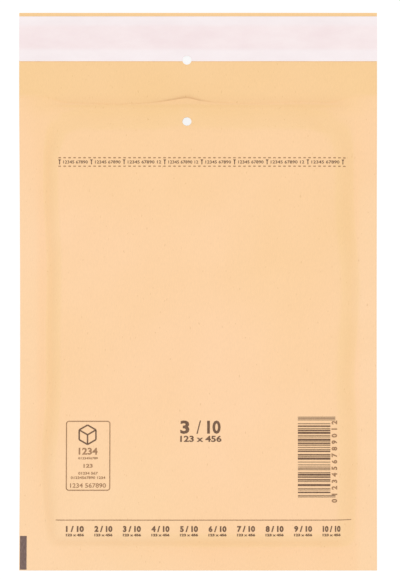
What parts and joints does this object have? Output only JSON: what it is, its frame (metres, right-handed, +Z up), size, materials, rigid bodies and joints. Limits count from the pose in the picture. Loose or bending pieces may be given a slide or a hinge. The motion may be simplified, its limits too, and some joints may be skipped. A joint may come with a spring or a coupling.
{
  "type": "padded envelope",
  "caption": "Kraft paper envelope with a bubble film lining, lying empty with its flap open and a peel-off strip over the flap's adhesive.",
  "frame": {"origin": "middle of the outline's rectangle, on the surface that the back panel lies on", "axes": "+X across the envelope, to the right as the front is read; +Y from the bottom fold to the flap's tip; +Z up, out of the front panel"},
  "size_m": [0.17, 0.265, 0.0095],
  "materials": {
    "kraft": "uncoated golden kraft paper, matt",
    "bubble_film": "clear polyethylene film, glossy",
    "adhesive": "hot-melt adhesive, translucent",
    "release_paper": "siliconised glassine, satin"
  },
  "bodies": {
    "root": {"kraft_cover": "kraft", "bubble_lining": "bubble_film", "adhesive_band": "adhesive", "release_strip": "release_paper"}
  },
  "joints": []
}
